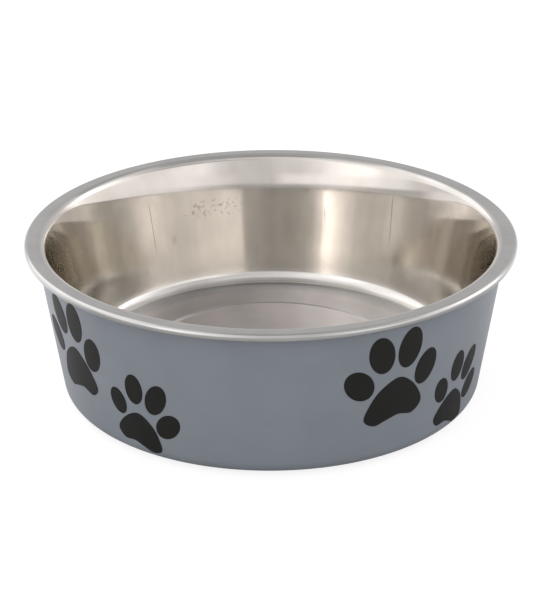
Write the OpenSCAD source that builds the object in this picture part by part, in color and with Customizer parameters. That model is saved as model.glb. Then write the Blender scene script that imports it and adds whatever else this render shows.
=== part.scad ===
// Double-walled dog bowl: a deep-drawn steel bowl in a lacquered outer shell with printed paws.
// Units are millimetres. Z is up, the bowl stands on z = 0, and the bowl's axis is the Z axis.

/* [Overall] */
// Diameter over the rolled rim
rim_d = 210; // [160:1:280]
// Height from the table to the top of the rim
overall_h = 70; // [62:1:90]

/* [Steel bowl] */
// Thickness of the steel sheet
sheet_t = 0.6; // [0.5:0.05:0.8]
// Diameter of the rolled bead round the rim
bead_d = 3.5; // [2.5:0.1:4]
// How far the bead is rolled round, from the top of the flange
bead_turn_deg = 262; // [200:5:280]
// Width of the flat flange, from the bead to the mouth's corner
flange_w = 3.6; // [3:0.1:6]
// Radius of the mouth's corner, on the food side
mouth_r = 4; // [2:0.1:4.5]
// Lean of the shoulder away from upright, just below the mouth
shoulder_deg = 20; // [16:1:22]
// Radius of the flared shoulder
shoulder_r = 95; // [80:5:120]
// Lean of the steel wall away from upright
wall_deg = 12; // [10:0.5:14]
// Height of the floor above the table, on the food side
floor_h = 13; // [11:0.5:18]
// Radius between the wall and the floor, on the food side
floor_corner_r = 5.5; // [4:0.5:9]
// Width of the flat floor between the corner and the raised disc's edge
floor_flat_w = 21.7; // [15:0.1:27]
// Height of the raised disc over the floor
disc_rise = 0.9; // [0.5:0.1:1.5]
// Slope of the disc's edge
disc_edge_deg = 14; // [10:1:20]
// Radius at the foot and the top of the disc's edge
disc_edge_r = 2; // [1.5:0.1:3]

/* [Outer shell] */
// Lean of the shell's wall away from upright
shell_deg = 9; // [7:0.1:11]
// Wall of the shell
shell_wall = 1.8; // [1.5:0.1:2.2]
// Radius between the shell's wall and its base
base_corner_r = 7; // [5:0.5:9]
// Thickness of the shell's floor
shell_floor_t = 2; // [1.5:0.1:3]
// Thickness of the rib that carries the steel floor
rib_t = 2; // [1.5:0.1:3]
// How far the rib stands inside the start of the steel floor's corner
rib_inset = 4.7; // [3:0.1:7]
// Radius at the foot of the rib
rib_foot_r = 1; // [0.5:0.1:1.5]

/* [Base ring] */
// Width of the rubber ring
ring_w = 6; // [5:0.5:8]
// Height of the rubber ring
ring_h = 3.2; // [2.5:0.1:4]
// How far the ring stands out below the shell
ring_proud = 0.8; // [0.5:0.1:1.5]
// Clearance on each side of the ring in its channel
ring_clearance = 0.3; // [0.2:0.05:0.5]
// Radius along the ring's lower edges
ring_edge_r = 0.6; // [0.3:0.1:0.9]
// Width and depth of the grip groove under the ring
grip_groove = 0.5; // [0.3:0.1:0.7]

/* [Adhesive] */
// Thickness of the adhesive under the flange and under the steel floor
bond_t = 0.5; // [0.4:0.05:0.8]
// How far the adhesive stops short of the edges that it joins
bond_inset = 0.15; // [0.1:0.05:0.3]

/* [Paw prints] */
// Thickness of the printed film
ink_t = 0.12; // [0.1:0.01:0.2]
// Number of large prints, and of small ones, round the shell
print_count = 4; // [4:1:4]
// Width of a large print's pad
large_pad_w = 28; // [20:0.5:29]
// Width of a small print's pad
small_pad_w = 22.5; // [16:0.5:23]
// Drop from the shell's top edge to a large print's pad centre
large_pad_drop = 39.8; // [37:0.1:42]
// Height of a small print's pad centre above the shell's base
small_pad_rise = 12.2; // [11.5:0.1:16]
// Bearing of the first large print from the front
large_pad_deg = 32; // [28:0.5:34]
// Distance round the shell from a large pad's centre to the next small one's
print_spacing = 35.9; // [34:0.1:40]
// Turn of the small prints on the wall, clockwise
small_turn_deg = 9; // [6:1:12]

/* [Hidden] */
$fn = 96;

steel = "silver";
lacquer = "slategray";
ink = [0.11, 0.11, 0.10];
rubber = [0.08, 0.08, 0.08];
adhesive = "ivory";

// Short steps of an arc, of the part of it that the rim's adhesive reaches, of a toe and of a pad's outline
arc_steps = 10;
bond_steps = 3;
toe_steps = 36;
pad_steps = 5;

// Heights above the table
shell_base_z = ring_proud;
flange_under_z = overall_h - sheet_t;
shell_top_z = flange_under_z - bond_t;
rib_top_z = floor_h - sheet_t - bond_t;

// Steel bowl, food side
bead_r = bead_d / 2;
bead_mid = [rim_d / 2 - bead_r, overall_h - bead_r];
mouth_mid = [bead_mid.x - flange_w, overall_h - mouth_r];
shoulder_mid = mouth_mid + (mouth_r - shoulder_r) * [cos(180 - shoulder_deg), sin(180 - shoulder_deg)];
wall_top = shoulder_mid + shoulder_r * [cos(180 - wall_deg), sin(180 - wall_deg)];
floor_corner_z = floor_h + floor_corner_r;
wall_foot_z = floor_corner_z - floor_corner_r * sin(wall_deg);
wall_foot_x = wall_top.x - (wall_top.y - wall_foot_z) * tan(wall_deg);
floor_corner_mid = [wall_foot_x - floor_corner_r * cos(wall_deg), floor_corner_z];
disc_slope_l = (disc_rise - 2 * disc_edge_r * (1 - cos(disc_edge_deg))) / sin(disc_edge_deg);
disc_foot_mid = [floor_corner_mid.x - floor_flat_w, floor_h + disc_edge_r];
disc_top_mid = [disc_foot_mid.x - 2 * disc_edge_r * sin(disc_edge_deg) - disc_slope_l * cos(disc_edge_deg),
                floor_h + disc_rise - disc_edge_r];

// Adhesive under the flange, from a point of the mouth's corner on the underside
rim_bond_deg = 90 + (90 - shoulder_deg) * bond_steps / arc_steps;
rim_bond_in_x = mouth_mid.x + (mouth_r - sheet_t) * cos(rim_bond_deg);

// Outer shell
shell_lean = tan(shell_deg);
shell_top_in_x = rim_bond_in_x - bond_inset;
shell_top_x = shell_top_in_x + shell_wall / cos(shell_deg);
shell_floor_z = shell_base_z + shell_floor_t;
inner_corner_r = base_corner_r - shell_wall;
base_corner_mid = corner_under(shell_top_x, base_corner_r, shell_base_z);
inner_corner_mid = corner_under(shell_top_in_x, inner_corner_r, shell_floor_z);

// Rib under the steel floor, and the channel for the base ring, outside it
rib_out_x = floor_corner_mid.x - rib_inset;
rib_in_x = rib_out_x - rib_t;
ring_mid_x = rib_out_x + ring_clearance + ring_w / 2;
channel_out_x = ring_mid_x + ring_w / 2 + ring_clearance;
hump_out_x = channel_out_x + shell_wall;
hump_top_z = ring_h + shell_floor_t;
hump_root_z = shell_base_z + shell_floor_t / 2;

// Pad centres of the prints
large_pad_z = shell_top_z - large_pad_drop;
small_pad_z = shell_base_z + small_pad_rise;
small_pad_deg = large_pad_deg + print_spacing / wall_x(small_pad_z) * 180 / PI;

// Outlines of the paws. A toe is [across, up, half length, half width] in shares of its pad's width,
// then its lean to the right in degrees. Places are from the pad's centre.
large_toe_shares = [[-0.605, 0.39, 0.282, 0.206, -39], [-0.295, 0.85, 0.318, 0.206, -16],
                    [0.18, 0.88, 0.334, 0.203, 7], [0.52, 0.455, 0.295, 0.187, 16]];
small_toe_shares = [[-0.43, 0.555, 0.272, 0.184, -13], [-0.012, 0.922, 0.318, 0.197, 3],
                    [0.446, 0.805, 0.35, 0.207, 25], [0.635, 0.271, 0.302, 0.211, 40]];
pad_shares = [[0.025, 0.412], [0.268, 0.285], [0.45, 0.043], [0.498, -0.15], [0.344, -0.287],
              [0.1, -0.24], [-0.13, -0.3], [-0.308, -0.35], [-0.475, -0.236], [-0.43, -0.02],
              [-0.265, 0.245]];

// Points of an arc about mid, from angle a to angle b
function arc(mid, r, a, b) =
    [for (i = [0 : arc_steps]) mid + r * [cos(a + (b - a) * i / arc_steps), sin(a + (b - a) * i / arc_steps)]];

// Middle of a corner of radius r between a leaning wall, top_x at its top edge, and a floor at low_z
function corner_under(top_x, r, low_z) =
    [top_x - (shell_top_z - low_z - r) * shell_lean - r / cos(shell_deg), low_z + r];

// Outside of the shell's wall at height z
function wall_x(z) = shell_top_x - (shell_top_z - z) * shell_lean;

// One side of the steel sheet from the axis to the bead's end, under = 0 on the food side
function sheet_side(under) = concat(
    [[0, floor_h + disc_rise - under]],
    arc(disc_top_mid, disc_edge_r - under, 90, 90 - disc_edge_deg),
    arc(disc_foot_mid, disc_edge_r + under, -90 - disc_edge_deg, -90),
    arc(floor_corner_mid, floor_corner_r + under, -90, -wall_deg),
    arc(shoulder_mid, shoulder_r - under, 180 - wall_deg, 180 - shoulder_deg),
    arc(mouth_mid, mouth_r - under, 180 - shoulder_deg, 90),
    arc(bead_mid, bead_r - under, 90, 90 - bead_turn_deg));

function reversed(points) = [for (i = [len(points) - 1 : -1 : 0]) points[i]];

// The shell's outside from the flat base to the top edge, raised by lift
function shell_side(lift) = concat(
    arc(base_corner_mid, base_corner_r + lift, -90, -shell_deg),
    [[shell_top_x + lift / cos(shell_deg), shell_top_z]]);

module inner_bowl() {
    color(steel)
        rotate_extrude()
            polygon(concat(sheet_side(0), reversed(sheet_side(sheet_t))));
}

// The shell's even skin, from the axis to the top edge
module shell_skin() {
    polygon(concat(
        [[0, shell_base_z]],
        shell_side(0),
        [[shell_top_in_x, shell_top_z]],
        arc(inner_corner_mid, inner_corner_r, -shell_deg, -90),
        [[0, shell_floor_z]]));
}

// The hump over the channel, and the rib that rises from its inner side
module hump_and_rib() {
    polygon(concat(
        [[rib_in_x - rib_foot_r, hump_root_z], [hump_out_x, hump_root_z], [hump_out_x, hump_top_z],
         [rib_out_x, hump_top_z], [rib_out_x, rib_top_z], [rib_in_x, rib_top_z]],
        arc([rib_in_x - rib_foot_r, shell_floor_z + rib_foot_r], rib_foot_r, 0, -90)));
}

module channel() {
    polygon([[rib_out_x, 0], [channel_out_x, 0], [channel_out_x, ring_h], [rib_out_x, ring_h]]);
}

module outer_shell() {
    color(lacquer)
        rotate_extrude()
            difference() {
                union() {
                    shell_skin();
                    hump_and_rib();
                }
                channel();
            }
}

// The adhesive fills the wedge between the shell's top edge and the flange, along the mouth's corner
module rim_bond() {
    out_x = shell_top_x - bond_inset;
    under_corner = arc(mouth_mid, mouth_r - sheet_t, 180 - shoulder_deg, 90);
    color(adhesive)
        rotate_extrude()
            polygon(concat(
                [[out_x, shell_top_z], [rim_bond_in_x, shell_top_z]],
                [for (i = [arc_steps - bond_steps : arc_steps]) under_corner[i]],
                [[out_x, flange_under_z]]));
}

// A flat bead of adhesive with round edges
module floor_bond() {
    bond_r = bond_t / 2;
    color(adhesive)
        rotate_extrude()
            polygon(concat(
                arc([rib_out_x - bond_inset - bond_r, rib_top_z + bond_r], bond_r, -90, 90),
                arc([rib_in_x + bond_inset + bond_r, rib_top_z + bond_r], bond_r, 90, 270)));
}

module base_ring() {
    in_x = ring_mid_x - ring_w / 2;
    out_x = ring_mid_x + ring_w / 2;
    color(rubber)
        rotate_extrude()
            polygon(concat(
                arc([in_x + ring_edge_r, ring_edge_r], ring_edge_r, 180, 270),
                [[ring_mid_x - grip_groove, 0], [ring_mid_x, grip_groove], [ring_mid_x + grip_groove, 0]],
                arc([out_x - ring_edge_r, ring_edge_r], ring_edge_r, -90, 0),
                [[out_x, ring_h], [in_x, ring_h]]));
}

// A smooth closed curve through the points
function curve_point(a, b, c, d, t) =
    (2 * b + (c - a) * t + (2 * a - 5 * b + 4 * c - d) * t * t + (3 * b - a - 3 * c + d) * t * t * t) / 2;
function closed_curve(points) = [
    for (i = [0 : len(points) - 1]) for (step = [0 : pad_steps - 1])
        curve_point(points[(i + len(points) - 1) % len(points)], points[i], points[(i + 1) % len(points)],
                    points[(i + 2) % len(points)], step / pad_steps)];

module toe(toe_share, pad_w) {
    translate(pad_w * [toe_share[0], toe_share[1]])
        rotate(-toe_share[4])
            polygon([for (i = [0 : toe_steps - 1])
                pad_w * [toe_share[3] * cos(i * 360 / toe_steps), toe_share[2] * sin(i * 360 / toe_steps)]]);
}

// The film of ink that the wall and the base corner could carry
module ink_film() {
    rotate_extrude()
        polygon(concat(shell_side(0), reversed(shell_side(ink_t))));
}

// One print, cut from the film square to the wall: four toes and a pad, each by itself
module paw_print(toe_shares, pad_w, pad_z, bearing, turn, flip) {
    color(ink)
        intersection() {
            ink_film();
            rotate([0, 0, bearing])
                translate([0, -wall_x(pad_z), pad_z])
                    rotate([90 + shell_deg, 0, 0])
                        linear_extrude(height = base_corner_r * 2, center = true)
                            union() {
                                for (toe_share = toe_shares) toe(toe_share, pad_w);
                                rotate(-turn)
                                    mirror([flip ? 1 : 0, 0])
                                        polygon(pad_w * closed_curve(pad_shares));
                            }
        }
}

module paw_print_large(number) {
    paw_print(large_toe_shares, large_pad_w, large_pad_z, large_pad_deg + (number - 1) * 360 / print_count, 0, false);
}

module paw_print_small(number) {
    paw_print(small_toe_shares, small_pad_w, small_pad_z, small_pad_deg + (number - 1) * 360 / print_count,
              small_turn_deg, true);
}

inner_bowl();
outer_shell();
rim_bond();
floor_bond();
base_ring();
paw_print_large(1);  // paw_print_large_1
paw_print_large(2);  // paw_print_large_2
paw_print_large(3);  // paw_print_large_3
paw_print_large(4);  // paw_print_large_4
paw_print_small(1);  // paw_print_small_1
paw_print_small(2);  // paw_print_small_2
paw_print_small(3);  // paw_print_small_3
paw_print_small(4);  // paw_print_small_4
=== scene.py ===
# A stainless steel dog bowl in a grey lacquered shell with printed paws, on a rubber base ring.
import math

import bmesh
import bpy
from mathutils import Matrix, Vector


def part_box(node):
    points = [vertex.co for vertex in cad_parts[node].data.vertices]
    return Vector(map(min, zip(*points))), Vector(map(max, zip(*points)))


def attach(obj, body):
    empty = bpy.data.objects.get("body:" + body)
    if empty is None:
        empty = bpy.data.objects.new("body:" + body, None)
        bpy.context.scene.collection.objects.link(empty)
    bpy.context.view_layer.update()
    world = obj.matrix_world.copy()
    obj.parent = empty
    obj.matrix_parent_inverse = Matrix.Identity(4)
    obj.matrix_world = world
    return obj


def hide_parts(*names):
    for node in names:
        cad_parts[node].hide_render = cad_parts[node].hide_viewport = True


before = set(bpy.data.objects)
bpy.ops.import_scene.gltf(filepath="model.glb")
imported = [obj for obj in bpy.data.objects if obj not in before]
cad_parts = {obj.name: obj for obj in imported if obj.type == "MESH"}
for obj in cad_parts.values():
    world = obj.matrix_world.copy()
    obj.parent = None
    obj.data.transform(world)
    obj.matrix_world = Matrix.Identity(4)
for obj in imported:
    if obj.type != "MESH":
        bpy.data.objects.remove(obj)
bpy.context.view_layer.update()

# Every size and place below is a number of millimetres, and Blender takes metres
MM = 0.001

# Places that the parts in model.glb give, in millimetres
rim_r = -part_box("inner_bowl")[0].x / MM
rim_top_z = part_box("inner_bowl")[1].z / MM
shell_top_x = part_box("outer_shell")[1].x / MM
shell_top_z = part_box("outer_shell")[1].z / MM
shell_base_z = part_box("outer_shell")[0].z / MM
ring_out_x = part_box("base_ring")[1].x / MM
ring_top_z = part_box("base_ring")[1].z / MM
rib_top_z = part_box("floor_bond")[0].z / MM

# Steel bowl
sheet_t = 0.6
bead_r = 1.75
bead_turn_deg = 262
flange_w = 3.6
mouth_r = 4
shoulder_deg = 20
shoulder_r = 95
wall_deg = 12
floor_corner_r = 5.5
floor_flat_w = 21.7
disc_rise = 0.9
disc_edge_deg = 14
disc_edge_r = 2
floor_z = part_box("inner_bowl")[0].z / MM + sheet_t

# Outer shell, whose edges are rounded where they turn more than sharp_deg
shell_deg = 9
shell_wall = 1.8
shell_floor_t = 2
base_corner_r = 7
rib_t = 2
rib_foot_r = 1
shell_edge_r = 0.25
shell_edge_steps = 3
sharp_deg = 30
ring_w = 6
ring_clearance = 0.3
channel_out_x = ring_out_x + ring_clearance
channel_in_x = ring_out_x - ring_w - ring_clearance

# Fineness of the turned pieces: steps in a full turn, the longest step in a bend and in a straight run, and
# how close two points are to be one
TURN_STEPS = 288
BEND_STEP_DEG = 6
BEND_STEP = 1.5
RUN_STEP = 3
WELD = 0.001


def linear(hex_colour):
    """An sRGB hex colour as the linear colour that shaders take."""
    parts = [int(hex_colour[i:i + 2], 16) / 255 for i in (1, 3, 5)]
    return tuple(c / 12.92 if c <= 0.04045 else ((c + 0.055) / 1.055) ** 2.4 for c in parts) + (1,)


def add(tree, kind, inputs=None, **settings):
    """Adds a node with its settings, and gives each input its value or the output that feeds it. Inputs go
    by number where names repeat: a Mix takes its share at 0, numbers at 2 and 3 and colours at 6 and 7, and
    gives its colour at 2. A Map Range takes its value at 0, from at 1 and 2, and to at 3 and 4."""
    made = tree.nodes.new(kind)
    for name, value in settings.items():
        setattr(made, name, value)
    for socket, value in (inputs or {}).items():
        if isinstance(value, bpy.types.NodeSocket):
            tree.links.new(value, made.inputs[socket])
        else:
            made.inputs[socket].default_value = value
    return made


class Section:
    """Half of a turned piece, drawn in the XZ plane by a tip that runs straight and bends."""

    def __init__(self, x, z, heading=0):
        self.mesh = bmesh.new()
        self.tip = self.mesh.verts.new((x, 0, z))
        self.heading = heading

    def run(self, length):
        """Straight on."""
        steps = max(1, math.ceil(length / RUN_STEP))
        way = Matrix.Rotation(math.radians(-self.heading), 3, "Y") @ Vector((length / steps, 0, 0))
        for _ in range(steps):
            self.tip = bmesh.ops.extrude_vert_indiv(self.mesh, verts=[self.tip])["verts"][0]
            bmesh.ops.translate(self.mesh, verts=[self.tip], vec=way)

    def to(self, x, z):
        """Straight to a point."""
        way = Vector((x, 0, z)) - self.tip.co
        self.heading = math.degrees(math.atan2(way.z, way.x))
        self.run(way.length)

    def bend(self, radius, degrees):
        """Round an arc, to the left where degrees is above zero."""
        side = math.copysign(90, degrees)
        out = Matrix.Rotation(math.radians(-self.heading - side), 3, "Y") @ Vector((radius, 0, 0))
        arc = math.radians(abs(degrees)) * radius
        steps = max(math.ceil(abs(degrees) / BEND_STEP_DEG), math.ceil(arc / BEND_STEP))
        bent = bmesh.ops.spin(self.mesh, geom=[self.tip], cent=self.tip.co + out, axis=(0, -1, 0),
                              angle=math.radians(degrees), steps=steps)
        self.tip = [v for v in bent["geom_last"] if isinstance(v, bmesh.types.BMVert)][0]
        self.heading += degrees

    def turned(self, name, open_to=None):
        """The finished piece: the section spun round the Z axis. An open skin faces open_to."""
        bmesh.ops.spin(self.mesh, geom=self.mesh.verts[:] + self.mesh.edges[:], cent=(0, 0, 0),
                       axis=(0, 0, 1), angle=math.tau, steps=TURN_STEPS, use_merge=True)
        bmesh.ops.scale(self.mesh, verts=self.mesh.verts[:], vec=(MM, MM, MM))
        bmesh.ops.remove_doubles(self.mesh, verts=self.mesh.verts[:], dist=WELD * MM)
        bmesh.ops.recalc_face_normals(self.mesh, faces=self.mesh.faces[:])
        if open_to is not None:
            middle = min(self.mesh.faces, key=lambda f: f.calc_center_median().xy.length)
            if middle.normal.dot(open_to) < 0:
                bmesh.ops.reverse_faces(self.mesh, faces=self.mesh.faces[:])
        data = bpy.data.meshes.new(name)
        self.mesh.to_mesh(data)
        self.mesh.free()
        data.shade_smooth()
        piece = bpy.data.objects.new(name, data)
        bpy.context.scene.collection.objects.link(piece)
        return piece


def steel_bowl():
    """The food side from the bead's end in to the axis, and the sheet's thickness behind it."""
    bead_x = rim_r - bead_r
    bead_z = rim_top_z - bead_r
    bead_end = math.radians(90 - bead_turn_deg)
    section = Section(bead_x + bead_r * math.cos(bead_end), bead_z + bead_r * math.sin(bead_end),
                      heading=180 - bead_turn_deg)
    section.bend(bead_r, bead_turn_deg)
    section.run(flange_w)
    section.bend(mouth_r, 90 - shoulder_deg)
    section.bend(shoulder_r, shoulder_deg - wall_deg)
    lean = math.radians(wall_deg)
    corner_top_z = floor_z + floor_corner_r * (1 - math.sin(lean))
    section.run((section.tip.co.z - corner_top_z) / math.cos(lean))
    section.bend(floor_corner_r, wall_deg - 90)
    section.run(floor_flat_w)
    slope = math.radians(disc_edge_deg)
    section.bend(disc_edge_r, -disc_edge_deg)
    section.run((disc_rise - 2 * disc_edge_r * (1 - math.cos(slope))) / math.sin(slope))
    section.bend(disc_edge_r, disc_edge_deg)
    section.to(0, section.tip.co.z)
    bowl = section.turned("steel_bowl", open_to=Vector((0, 0, 1)))
    sheet = bowl.modifiers.new("sheet", "SOLIDIFY")
    sheet.thickness = sheet_t * MM
    sheet.offset = -1
    sheet.use_even_offset = True
    return bowl


def lacquered_shell():
    """The whole closed section: base, ring channel, corner, wall, top edge, and back inside over the rib."""
    lean = math.radians(shell_deg)
    section = Section(0, shell_base_z)
    section.to(channel_in_x, shell_base_z)
    section.to(channel_in_x, ring_top_z)
    section.to(channel_out_x, ring_top_z)
    section.to(channel_out_x, shell_base_z)
    corner_top = shell_base_z + base_corner_r * (1 - math.sin(lean))
    wall_l = (shell_top_z - corner_top) / math.cos(lean)
    corner_x = shell_top_x - wall_l * math.sin(lean) - base_corner_r * math.cos(lean)
    section.to(corner_x, shell_base_z)
    section.bend(base_corner_r, 90 - shell_deg)
    section.run(wall_l)
    section.to(shell_top_x - shell_wall / math.cos(lean), shell_top_z)
    shell_floor_z = shell_base_z + shell_floor_t
    inner_corner_r = base_corner_r - shell_wall
    section.heading = 270 - shell_deg
    inner_top = shell_floor_z + inner_corner_r * (1 - math.sin(lean))
    section.run((shell_top_z - inner_top) / math.cos(lean))
    section.bend(inner_corner_r, shell_deg - 90)
    hump_out_x = channel_out_x + shell_wall
    section.to(hump_out_x, shell_floor_z)
    section.to(hump_out_x, ring_top_z + shell_floor_t)
    section.to(channel_in_x, ring_top_z + shell_floor_t)
    section.to(channel_in_x, rib_top_z)
    section.to(channel_in_x - rib_t, rib_top_z)
    section.to(channel_in_x - rib_t, shell_floor_z + rib_foot_r)
    section.bend(rib_foot_r, -90)
    section.to(0, shell_floor_z)
    shell = section.turned("lacquered_shell")
    edges = shell.modifiers.new("rounded_edges", "BEVEL")
    edges.width = shell_edge_r * MM
    edges.segments = shell_edge_steps
    edges.limit_method = "ANGLE"
    edges.angle_limit = math.radians(sharp_deg)
    return shell


def material(name, values):
    """A node material, with these values on its Principled shader's own sockets."""
    made = bpy.data.materials.new(name)
    made.use_nodes = True
    shader = made.node_tree.nodes["Principled BSDF"]
    for socket, value in values.items():
        shader.inputs[socket].default_value = value
    return made, made.node_tree, shader


def within(tree, edges):
    """How far a point is inside all the edges, from 0 to 1. An edge is a measure, where the inside starts
    and where it is full."""
    share = 1
    for measure, start, full in edges:
        edge = add(tree, "ShaderNodeMapRange", {0: measure, 1: start, 2: full}).outputs[0]
        share = add(tree, "ShaderNodeMath", {0: share, 1: edge}, operation="MULTIPLY").outputs[0]
    return share


# Most of a noise lies between these
NOISE_LOW, NOISE_HIGH = 0.3, 0.7

# Patterns in the steel: what each one follows, the size of its grain, and how many finer layers it has. The
# real drawing streaks and polishing lines are finer, and are drawn this coarse to show.
steel_patterns = {
    "streaks": ("wall", 4, 4),
    "temper": ("wall", 16, 1),
    "lines": ("rings", 0.9, 2),
    "wave": ("place", 30, 1),
    "stains": ("place", 18, 4),
    "pits": ("place", 1.6, 1),
}
# Patterns along the wall lie on a circle of this radius, and change with height only at this rate
wall_pattern_r = 85
wall_pattern_draw = 0.06
# How deep the wave in the sheet is, and the streaks
wave_depth = 0.06
streak_depth = 0.001

# Finish of the steel wall: its two tempers, the levels of their noise between which one passes into the
# other, and its roughness from the finest streak to the coarsest
wall_colours = ("#D3CEC7", "#CFCCC3")
temper_levels = (0.4, 0.6)
wall_roughness = (0.06, 0.10)
# Finish of the other zones, each laid over the ones before it, where the dark grey on the floor by the
# corner is a painted dark reflection. An edge is where a zone starts and where it is full, by radius or by
# height.
# The roughness is that of the finest polishing line and of the coarsest.
steel_zones = {
    "top of the wall": {"edges": [("height", 54, 60)], "roughness": (0.045, 0.045)},
    "foot of the wall": {"edges": [("height", 30, 20)], "roughness": (0.14, 0.14)},
    "corner": {"edges": [("height", 19, 16.5)], "colour": "#D9D8D3", "roughness": (0.16, 0.16)},
    "floor": {"edges": [("radius", 80, 78.5)], "roughness": (0.08, 0.12)},
    "floor round the disc": {"edges": [("radius", 80, 78.5), ("radius", 55, 56.5)], "colour": "#BDBBBC"},
    # The dark grey on the floor by the corner is a painted dark reflection along the foot of the wall
    "painted dark reflection on the floor by the corner": {"edges": [("radius", 80, 78.5), ("radius", 69.5, 76.5)], "colour": "#9FA0A0",
                            "roughness": (0.16, 0.16)},
    "disc": {"edges": [("radius", 56.5, 55)], "colour": "#CBC9CA", "roughness": (0.14, 0.20)},
    "edge of the disc": {"edges": [("radius", 58, 56.5), ("radius", 53, 54.5)], "roughness": (0.13, 0.13)},
    "flange": {"edges": [("radius", 95.5, 98.5)], "colour": "#C2C4C1", "roughness": (0.13, 0.19)},
}

# Marks in the steel wall, three long scratches and a spot: the bearing from straight behind the bowl and the
# height of the upper and the lower end, and the width
scratches = [
    {"top": (-37.6, 56), "foot": (-37.4, 31), "width": 0.35},
    {"top": (15.6, 49), "foot": (16.2, 38), "width": 0.3},
    {"top": (36.6, 59), "foot": (37.7, 34), "width": 0.35},
    {"top": (-30.8, 38.5), "foot": (-30.8, 33), "width": 2.2},
]
# How far a scratch fades in from its ends, the share of its width that is soft, and the radius that turns
# its width into a bearing
scratch_fade_top = 4
scratch_fade_foot = 6
scratch_softness = 0.6
scratched_r = 90
# Pits from the draw, in a patch at the back on the left: where it starts and is full from each side, and the
# levels of their noise between which they set in
pit_bearings = [(-29, -23.27), (-8.5, -10.22)]
pit_heights = [(43, 46), (52, 50)]
pit_levels = (0.56, 0.76)
# The colour of marks and stains, its share in a mark and its largest share in a stain, and the levels of
# their noise between which stains set in
mark_colour = "#57504A"
mark_depth = 0.55
stain_depth = 0.14
stain_levels = (0.35, 0.7)


def steel_marks(tree, grains, bearing, height):
    """How marked the wall is, from 0 to 1, by the scratches, the spot and the pits."""
    patch = [(bearing, math.radians(start), math.radians(full)) for start, full in pit_bearings]
    patch += [(height, start * MM, full * MM) for start, full in pit_heights]
    marks = within(tree, [(grains, *pit_levels)] + patch)
    for scratch in scratches:
        # The line is a bearing that changes evenly with height, and the mark is what lies close to it
        (top_deg, top_z), (foot_deg, foot_z) = scratch["top"], scratch["foot"]
        turn = math.radians(top_deg - foot_deg) / ((top_z - foot_z) * MM)
        at_table = math.radians(foot_deg) - turn * foot_z * MM
        line = add(tree, "ShaderNodeMath", {0: height, 1: turn, 2: at_table},
                   operation="MULTIPLY_ADD").outputs[0]
        side = add(tree, "ShaderNodeMath", {0: bearing, 1: line}, operation="SUBTRACT").outputs[0]
        off = add(tree, "ShaderNodeMath", {0: side}, operation="ABSOLUTE").outputs[0]
        half = scratch["width"] / 2 / scratched_r
        mark = within(tree, [(off, half * (1 + scratch_softness), half * (1 - scratch_softness)),
                             (height, top_z * MM, (top_z - scratch_fade_top) * MM),
                             (height, foot_z * MM, (foot_z + scratch_fade_foot) * MM)])
        marks = add(tree, "ShaderNodeMath", {0: marks, 1: mark}, operation="MAXIMUM").outputs[0]
    return marks


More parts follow.
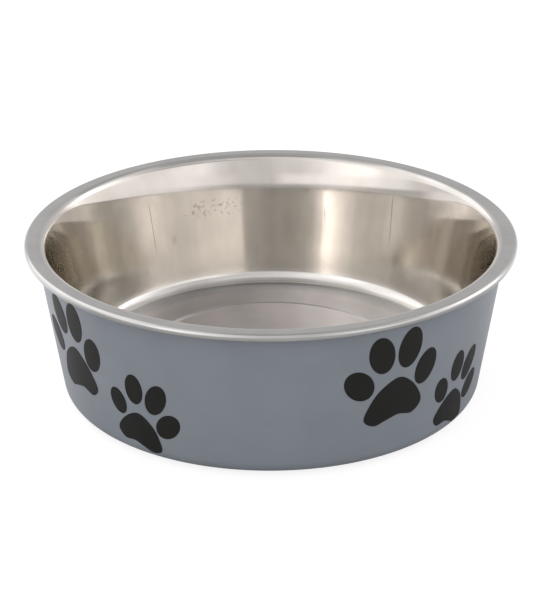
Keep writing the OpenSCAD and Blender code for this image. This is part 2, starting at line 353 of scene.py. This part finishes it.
def drawn_stainless_steel():
    """304 sheet, deep-drawn and then polished round the axis, so that what it mirrors is drawn out upright.
    The wall is nearly a mirror, clearest at the top, with upright drawing streaks, a faint wave, stains and
    a few marks. The floor and disc are duller, with polishing lines in rings and a painted dark reflection
    by the corner, and the flange is satin."""
    steel, tree, shader = material("drawn_stainless_steel",
                                   {"Metallic": 1, "Anisotropic": 0.8, "Anisotropic Rotation": 0.25})
    place = add(tree, "ShaderNodeTexCoord").outputs["Object"]
    across, behind, height = add(tree, "ShaderNodeSeparateXYZ", {0: place}).outputs
    flat = add(tree, "ShaderNodeVectorMath", {0: place, 1: (1, 1, 0)}, operation="MULTIPLY").outputs[0]
    radius = add(tree, "ShaderNodeVectorMath", {0: flat}, operation="LENGTH").outputs["Value"]
    bearing = add(tree, "ShaderNodeMath", {0: across, 1: behind}, operation="ARCTAN2").outputs[0]

    outward = add(tree, "ShaderNodeVectorMath", {0: flat}, operation="NORMALIZE").outputs[0]
    round_wall = add(tree, "ShaderNodeVectorMath", {0: outward, "Scale": wall_pattern_r * MM},
                     operation="SCALE").outputs[0]
    drawn_out = add(tree, "ShaderNodeVectorMath", {0: place, 1: (0, 0, wall_pattern_draw)},
                    operation="MULTIPLY").outputs[0]
    along_wall = add(tree, "ShaderNodeVectorMath", {0: round_wall, 1: drawn_out}).outputs[0]
    over_rings = add(tree, "ShaderNodeCombineXYZ", {0: radius, 1: 0, 2: height}).outputs[0]
    followed = {"place": place, "wall": along_wall, "rings": over_rings}
    noise = {}
    for name, (what, grain, detail) in steel_patterns.items():
        inputs = {"Vector": followed[what], "Scale": 1 / (grain * MM), "Detail": detail}
        noise[name] = add(tree, "ShaderNodeTexNoise", inputs).outputs[0]

    tempered = within(tree, [(noise["temper"], *temper_levels)])
    pale, dark = [linear(temper) for temper in wall_colours]
    colour = add(tree, "ShaderNodeMix", {0: tempered, 6: pale, 7: dark}, data_type="RGBA").outputs[2]
    rough = add(tree, "ShaderNodeMapRange", {0: noise["streaks"], 1: NOISE_LOW, 2: NOISE_HIGH,
                                             3: wall_roughness[0], 4: wall_roughness[1]}).outputs[0]
    measures = {"radius": radius, "height": height}
    for zone in steel_zones.values():
        share = within(tree, [(measures[by], start * MM, full * MM) for by, start, full in zone["edges"]])
        if "colour" in zone:
            colour = add(tree, "ShaderNodeMix", {0: share, 6: colour, 7: linear(zone["colour"])},
                         data_type="RGBA").outputs[2]
        if "roughness" in zone:
            finest, coarsest = zone["roughness"]
            lined = add(tree, "ShaderNodeMapRange", {0: noise["lines"], 1: NOISE_LOW, 2: NOISE_HIGH,
                                                     3: finest, 4: coarsest}).outputs[0]
            rough = add(tree, "ShaderNodeMix", {0: share, 2: rough, 3: lined}).outputs[0]
    tree.links.new(rough, shader.inputs["Roughness"])

    marks = steel_marks(tree, noise["pits"], bearing, height)
    stained = add(tree, "ShaderNodeMapRange", {0: noise["stains"], 1: stain_levels[0], 2: stain_levels[1],
                                               3: 0, 4: stain_depth}).outputs[0]
    soiled = add(tree, "ShaderNodeMath", {0: marks, 1: mark_depth, 2: stained},
                 operation="MULTIPLY_ADD").outputs[0]
    colour = add(tree, "ShaderNodeMix", {0: soiled, 6: colour, 7: linear(mark_colour)},
                 data_type="RGBA").outputs[2]
    tree.links.new(colour, shader.inputs["Base Color"])

    # The polish runs round the axis
    round_axis = add(tree, "ShaderNodeVectorMath", {0: (0, 0, 1), 1: outward},
                     operation="CROSS_PRODUCT").outputs[0]
    tree.links.new(round_axis, shader.inputs["Tangent"])
    waved = add(tree, "ShaderNodeBump", {"Height": noise["wave"], "Distance": wave_depth * MM,
                                         "Strength": 1})
    streaked = add(tree, "ShaderNodeBump", {"Height": noise["streaks"], "Distance": streak_depth * MM,
                                            "Strength": 1, "Normal": waved.outputs[0]})
    tree.links.new(streaked.outputs[0], shader.inputs["Normal"])
    return steel


def satin_lacquer():
    """Grey two-part lacquer, sprayed on the shell: an even colour, a satin sheen and a faint orange peel."""
    lacquer, tree, shader = material("satin_grey_lacquer",
                                     {"Roughness": 0.45, "Coat Weight": 0.25, "Coat Roughness": 0.3})
    cloud_w = 20
    peel_w = 1.2
    peel_depth = 0.02
    place = add(tree, "ShaderNodeTexCoord").outputs["Object"]
    clouds = add(tree, "ShaderNodeTexNoise", {"Vector": place, "Scale": 1 / (cloud_w * MM), "Detail": 3})
    shade = add(tree, "ShaderNodeMapRange", {0: clouds.outputs[0], 1: NOISE_LOW, 2: NOISE_HIGH})
    mixed = add(tree, "ShaderNodeMix", {0: shade.outputs[0], 6: linear("#7E868D"), 7: linear("#838B92")},
                data_type="RGBA")
    tree.links.new(mixed.outputs[2], shader.inputs["Base Color"])
    peel = add(tree, "ShaderNodeTexNoise", {"Vector": place, "Scale": 1 / (peel_w * MM), "Detail": 2})
    bumped = add(tree, "ShaderNodeBump", {"Height": peel.outputs[0], "Distance": peel_depth * MM,
                                          "Strength": 1})
    tree.links.new(bumped.outputs[0], shader.inputs["Normal"])
    return lacquer


def grained(tree, shader, grain, detail, relief, dark, pale):
    """One noise gives the shader two near colours and a relief. Grain is its width, and relief its depth."""
    place = add(tree, "ShaderNodeTexCoord").outputs["Object"]
    noise = add(tree, "ShaderNodeTexNoise", {"Vector": place, "Scale": 1 / (grain * MM), "Detail": detail})
    mixed = add(tree, "ShaderNodeMix", {0: noise.outputs[0], 6: linear(dark), 7: linear(pale)},
                data_type="RGBA")
    tree.links.new(mixed.outputs[2], shader.inputs["Base Color"])
    bumped = add(tree, "ShaderNodeBump", {"Height": noise.outputs[0], "Distance": relief * MM,
                                          "Strength": 1})
    tree.links.new(bumped.outputs[0], shader.inputs["Normal"])


def screen_ink():
    """Black ink, screen printed on the lacquer in one pass: dense and satin. The real grain is finer, and is
    drawn this coarse to show."""
    ink, tree, shader = material("screen_printed_ink", {"Roughness": 0.5, "Specular IOR Level": 0.32})
    grained(tree, shader, grain=1.5, detail=3, relief=0.01, dark="#090A07", pale="#11120D")
    return ink


def moulded_rubber():
    """Black rubber from a blasted mould: dull, with an even texture. The real grit is finer, and is drawn
    this coarse to show."""
    rubber, tree, shader = material("moulded_rubber", {"Roughness": 0.7})
    grained(tree, shader, grain=0.6, detail=2, relief=0.04, dark="#191918", pale="#222221")
    return rubber


def cured_adhesive():
    """Two-part adhesive, cured in place: ivory, and glossy and lumpy where it was squeezed out."""
    adhesive, tree, shader = material("cured_adhesive", {"Roughness": 0.35})
    grained(tree, shader, grain=3, detail=2, relief=0.05, dark="#DDD9CC", pale="#E9E6DC")
    return adhesive


# The paper sweep: its radius, and how far it lies under the rubber ring
paper_r = 4000
paper_gap = 0.02
# Glow of a lamp on the paper behind the bowl, a little to the left: the way to it, and where it starts and
# is full
lamp_way = (-0.2, 1, 0)
lamp_starts, lamp_full = -40, 150
lamp_strength = 0.65
# The light under the bowl, by radius: it ends under the rubber ring
under_light_ends, under_light_full = 79, 77
under_light_strength = 0.8
# What the camera sees of the paper: light from behind it, and a grey that takes a faint shadow
backlight_strength = 0.84
shadow_grey = "#898989"


def studio_paper():
    """A matt paper sweep, lit from behind for the camera so that it comes out white with a faint shadow. The
    bowl mirrors it as plain pale paper, with a lamp's glow on it behind. From below it is clear, and a light
    under the bowl shows the underside."""
    white = linear("#FFFFFF")
    paper, tree, shader = material("studio_paper", {"Base Color": linear("#C6C6C6"), "Roughness": 0.9,
                                                    "Emission Color": white})
    place = add(tree, "ShaderNodeTexCoord").outputs["Object"]
    to_lamp = add(tree, "ShaderNodeVectorMath", {0: place, 1: lamp_way}, operation="DOT_PRODUCT").outputs[1]
    lamp = add(tree, "ShaderNodeMapRange", {0: to_lamp, 1: lamp_starts * MM, 2: lamp_full * MM,
                                            3: 0, 4: lamp_strength}).outputs[0]
    from_middle = add(tree, "ShaderNodeVectorMath", {0: place}, operation="LENGTH").outputs[1]
    under_bowl = add(tree, "ShaderNodeMapRange", {0: from_middle, 1: under_light_ends * MM,
                                                  2: under_light_full * MM, 3: 0,
                                                  4: under_light_strength}).outputs[0]
    lamps = add(tree, "ShaderNodeMath", {0: lamp, 1: under_bowl}, operation="MAXIMUM").outputs[0]
    tree.links.new(lamps, shader.inputs["Emission Strength"])
    glow = add(tree, "ShaderNodeEmission", {"Color": white, "Strength": backlight_strength})
    faint = add(tree, "ShaderNodeBsdfDiffuse", {"Color": linear(shadow_grey)})
    backlit = add(tree, "ShaderNodeAddShader", {0: glow.outputs[0], 1: faint.outputs[0]})
    seen = add(tree, "ShaderNodeLightPath").outputs["Is Camera Ray"]
    both = add(tree, "ShaderNodeMixShader", {0: seen, 1: shader.outputs[0], 2: backlit.outputs[0]})
    from_below = add(tree, "ShaderNodeNewGeometry").outputs["Backfacing"]
    clear = add(tree, "ShaderNodeBsdfTransparent")
    open_below = add(tree, "ShaderNodeMixShader", {0: from_below, 1: both.outputs[0], 2: clear.outputs[0]})
    tree.links.new(open_below.outputs[0], tree.nodes["Material Output"].inputs["Surface"])
    return paper


# Pieces and finishes
steel = steel_bowl()
steel.data.materials.append(drawn_stainless_steel())
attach(steel, "bowl")
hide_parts("inner_bowl")

shell = lacquered_shell()
shell.data.materials.append(satin_lacquer())
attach(shell, "bowl")
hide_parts("outer_shell")

finishes = {"paw_print": screen_ink(), "base_ring": moulded_rubber(), "rim_bond": cured_adhesive()}
finishes["floor_bond"] = finishes["rim_bond"]
for name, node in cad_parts.items():
    for start, finish in finishes.items():
        if name.startswith(start):
            node.data.materials.clear()
            node.data.materials.append(finish)


# The studio round the bowl, in layers from the table up. Each has its levels of light by bearing from
# straight behind the bowl, and runs up to its top edge, which is soft over edge_deg. A layer holds 32
# levels at most.
layers = [
    # Just over the rim: the dark edge of a table in front, on the camera's side
    {"top_deg": 6.2, "edge_deg": 1.2, "levels": [
        (-180, 0.48), (-165, 0.48), (-150, 0.75), (-138, 0.85), (-126, 0.60), (-95, 0.56), (-86, 0.90),
        (-65, 1.18), (-46, 1.24), (-37, 0.90), (-28, 0.74), (0, 0.65), (45, 0.78), (52, 0.95), (61, 1.50),
        (70, 1.32), (82, 1.14), (100, 1.02), (125, 1.00), (145, 0.75), (160, 0.50), (180, 0.48)]},
    # Low down: a dark step at the left, level with the rim
    {"top_deg": 12, "edge_deg": 4, "levels": [
        (-180, 0.74), (-172, 1.14), (-163, 1.26), (-155, 1.30), (-138, 1.42), (-120, 1.22), (-108, 1.12),
        (-97, 0.84), (-87, 0.76), (-77, 0.92), (-65, 1.18), (-46, 1.24), (-37, 0.90), (-28, 0.74), (0, 0.65),
        (45, 0.78), (52, 0.95), (61, 1.50), (70, 1.32), (82, 1.14), (100, 1.04), (138, 1.14), (150, 1.04),
        (164, 0.80), (180, 0.78)]},
    # Walls: dark screens behind, a strip light at the back on the right, pale walls at the sides
    {"top_deg": 38.5, "edge_deg": 3, "levels": [
        (-180, 0.81), (-165, 0.95), (-153, 1.18), (-141, 1.56), (-129, 1.62), (-117, 1.26), (-90, 1.25),
        (-63, 1.46), (-42, 1.56), (-32, 1.50), (-29, 0.84), (-15, 0.67), (0, 0.59), (15, 0.64), (27, 0.70),
        (38, 0.82), (45, 0.98), (51, 1.46), (55, 1.80), (58, 2.85), (65, 3.00), (70, 2.35), (76, 2.02),
        (84, 1.58), (93, 1.25), (108, 1.03), (120, 1.04), (130, 1.18), (143, 1.21), (152, 0.96), (160, 0.78),
        (180, 0.77)]},
    # Above them, dim on the right and bright on the left
    {"top_deg": 51, "edge_deg": 4, "levels": [
        (-180, 0.80), (-168, 0.92), (-155, 1.18), (-145, 1.24), (-128, 1.38), (-112, 1.22), (-98, 1.22),
        (-80, 1.45), (-55, 1.55), (-42, 1.40), (-28, 0.74), (0, 0.46), (38, 0.54), (50, 0.95), (62, 1.22),
        (74, 1.18), (84, 1.05), (96, 0.74), (115, 0.57), (150, 0.59), (165, 0.68), (180, 0.78)]},
    # Soft boxes in front and at the left, high up
    {"top_deg": 62, "edge_deg": 6, "levels": [
        (-180, 0.85), (-165, 0.95), (-150, 1.10), (-130, 1.15), (-95, 1.15), (-60, 1.35), (-44, 1.35),
        (-30, 0.80), (0, 0.54), (30, 0.58), (50, 0.78), (65, 0.80), (82, 0.74), (120, 0.70), (145, 0.86),
        (180, 0.82)]},
    # And their spill on the ceiling
    {"top_deg": 76, "edge_deg": 10, "levels": [
        (-180, 0.85), (-120, 1.00), (-90, 0.90), (-60, 0.75), (-30, 0.62), (0, 0.50), (60, 0.48), (90, 0.55),
        (120, 0.70), (150, 0.72), (180, 0.85)]},
]
# The ceiling over the last layer, and the gain and the tint of the whole studio
ceiling_level = 0.43
studio_gain = 1.14
studio_tint = linear("#FFFBFD")


def studio_world():
    """Soft boxes and dark screens all round, and a dim ceiling. The camera itself sees plain white."""
    world = bpy.data.worlds.new("studio")
    world.use_nodes = True
    tree = world.node_tree
    tree.nodes.clear()
    way = add(tree, "ShaderNodeTexCoord").outputs["Generated"]
    across, behind, height = add(tree, "ShaderNodeSeparateXYZ", {0: way}).outputs
    bearing = add(tree, "ShaderNodeMath", {0: across, 1: behind}, operation="ARCTAN2").outputs[0]
    round_share = add(tree, "ShaderNodeMapRange", {0: bearing, 1: -math.pi, 2: math.pi}).outputs[0]
    up = add(tree, "ShaderNodeMath", {0: height}, operation="ARCSINE").outputs[0]
    brightest = max(level for layer in layers for _, level in layer["levels"])

    def lit_at(level):
        """The colour of a level as a share of the brightest, because a ramp's colours end at 1."""
        return tuple(channel * level / brightest for channel in studio_tint[:3]) + (1,)

    colour = lit_at(ceiling_level)
    for layer in reversed(layers):
        ramp = add(tree, "ShaderNodeValToRGB", {0: round_share})
        stops = ramp.color_ramp.elements
        while len(stops) < len(layer["levels"]):
            stops.new(0.5)
        for stop, (degrees, level) in zip(stops, layer["levels"]):
            stop.position = (degrees + 180) / 360
            stop.color = lit_at(level)
        low, high = [math.radians(layer["top_deg"] + side * layer["edge_deg"] / 2) for side in (-1, 1)]
        above = add(tree, "ShaderNodeMapRange", {0: up, 1: low, 2: high}, interpolation_type="SMOOTHSTEP")
        colour = add(tree, "ShaderNodeMix", {0: above.outputs[0], 6: ramp.outputs[0], 7: colour},
                     data_type="RGBA").outputs[2]
    lit = add(tree, "ShaderNodeBackground", {"Color": colour, "Strength": brightest * studio_gain})
    white = add(tree, "ShaderNodeBackground", {"Color": linear("#FFFFFF"), "Strength": 1})
    seen = add(tree, "ShaderNodeLightPath").outputs["Is Camera Ray"]
    both = add(tree, "ShaderNodeMixShader", {0: seen, 1: lit.outputs[0], 2: white.outputs[0]})
    add(tree, "ShaderNodeOutputWorld", {0: both.outputs[0]})
    bpy.context.scene.world = world


def paper_floor():
    """The paper sweep under the bowl, wide enough for low views."""
    sweep = bmesh.new()
    bmesh.ops.create_circle(sweep, cap_ends=True, radius=paper_r * MM, segments=96)
    bmesh.ops.translate(sweep, verts=sweep.verts[:], vec=(0, 0, -paper_gap * MM))
    data = bpy.data.meshes.new("paper_floor")
    sweep.to_mesh(data)
    sweep.free()
    floor = bpy.data.objects.new("paper_floor", data)
    data.materials.append(studio_paper())
    bpy.context.scene.collection.objects.link(floor)


# The camera looks down from in front through a long lens, turned a little about the bowl's axis
camera_pitch_deg = 23.72
camera_roll_deg = -0.28
camera_turn_deg = 0.35
camera_distance = 997.5
camera_lens = 138.67
camera_sensor = 36
camera_aim = Vector((0.8, 0, 38.86))


def photo_camera():
    """The photograph's camera: back from its aim, rolled, pitched down and turned about the axis."""
    lens = bpy.data.cameras.new("photo_camera")
    lens.lens = camera_lens
    lens.sensor_fit = "VERTICAL"
    lens.sensor_height = camera_sensor
    camera = bpy.data.objects.new("photo_camera", lens)
    turn = Matrix.Rotation(math.radians(camera_turn_deg), 4, "Z")
    aim = Matrix.Translation(camera_aim * MM)
    pitch = Matrix.Rotation(math.radians(90 - camera_pitch_deg), 4, "X")
    roll = Matrix.Rotation(math.radians(camera_roll_deg), 4, "Z")
    back = Matrix.Translation((0, 0, camera_distance * MM))
    camera.matrix_world = turn @ aim @ pitch @ roll @ back
    bpy.context.scene.collection.objects.link(camera)
    bpy.context.scene.camera = camera


# Light bounces often, because the steel mirrors itself many times over
bounces = 24

studio_world()
paper_floor()
photo_camera()
bpy.context.scene.view_settings.view_transform = "Standard"
bpy.context.scene.cycles.max_bounces = bounces
bpy.context.scene.cycles.glossy_bounces = bounces
